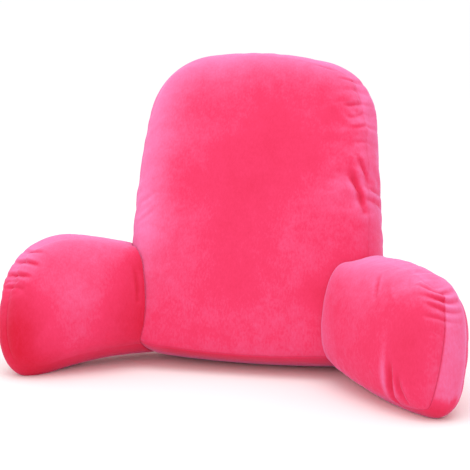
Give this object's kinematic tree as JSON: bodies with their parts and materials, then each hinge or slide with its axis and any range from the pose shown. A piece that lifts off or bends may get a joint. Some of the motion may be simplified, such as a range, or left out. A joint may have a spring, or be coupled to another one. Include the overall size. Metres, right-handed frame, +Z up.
{
  "type": "backrest pillow",
  "caption": "Backrest pillow in short-pile velvet: a tall stuffed back with a round top and stuffed arms at its sides, standing on its base.",
  "frame": {"origin": "middle of the bounding box, on the surface that the pillow stands on", "axes": "+X from the arm at the left of the picture to the arm at its right, +Y from the front of the pillow to its rear, +Z up"},
  "size_m": [0.7545, 0.4192, 0.4846],
  "materials": {
    "back_velvet": "short pile",
    "arm_left_velvet": "short pile",
    "arm_right_velvet": "short pile"
  },
  "bodies": {
    "root": {"back_cushion": "back_velvet", "arm_left": "arm_left_velvet", "arm_right": "arm_right_velvet"}
  },
  "joints": []
}
